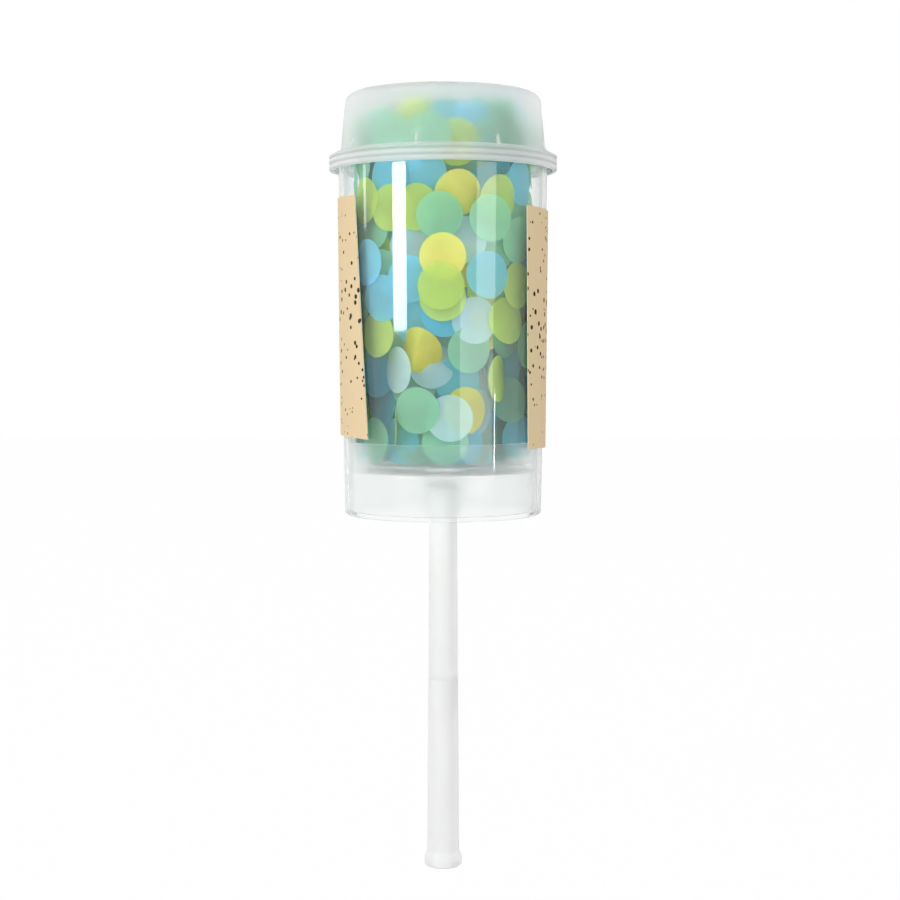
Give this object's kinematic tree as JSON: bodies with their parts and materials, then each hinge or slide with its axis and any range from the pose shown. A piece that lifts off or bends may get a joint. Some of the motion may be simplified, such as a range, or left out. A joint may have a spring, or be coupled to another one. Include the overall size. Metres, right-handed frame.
{
  "type": "confetti popper",
  "caption": "Push-up confetti popper: a clear tapered tube of loose paper discs under a frosted domed cap, with a cup piston on a push stick and a kraft paper band.",
  "frame": {"origin": "centre of the push stick's foot, at the part's lowest point", "axes": "+Z along the popper's axis from the foot to the cap; the label's window faces -Y"},
  "size_m": [0.0526, 0.0526, 0.18],
  "materials": {
    "clear_plastic": "clear gloss",
    "frosted_plastic": "frosted translucent",
    "milky_plastic": "milky translucent",
    "kraft_paper": "matte printed kraft",
    "lime_tissue": "matte tissue paper",
    "yellow_tissue": "matte tissue paper",
    "mint_tissue": "matte tissue paper",
    "sky_blue_tissue": "matte tissue paper",
    "deep_blue_tissue": "matte tissue paper",
    "ice_blue_tissue": "matte tissue paper"
  },
  "bodies": {
    "barrel": {"tube": "clear_plastic", "label_band": "kraft_paper", "confetti_lime": "lime_tissue", "confetti_yellow": "yellow_tissue", "confetti_mint": "mint_tissue", "confetti_sky_blue": "sky_blue_tissue", "confetti_deep_blue": "deep_blue_tissue", "confetti_ice_blue": "ice_blue_tissue"},
    "cap": {"cap": "frosted_plastic"},
    "plunger": {"piston": "frosted_plastic", "upper_rod": "milky_plastic", "lower_rod": "milky_plastic"}
  },
  "joints": [
    {"name": "plunger_slide", "type": "slide", "parent": "barrel", "child": "plunger", "axis": [0, 0, 1], "range_m": [0, 0.064], "deforming": ["confetti_lime", "confetti_yellow", "confetti_mint", "confetti_sky_blue", "confetti_deep_blue", "confetti_ice_blue"]},
    {"name": "cap_lift", "type": "slide", "parent": "barrel", "child": "cap", "axis": [0, 0, 1], "range_m": [0, 0.06]}
  ]
}
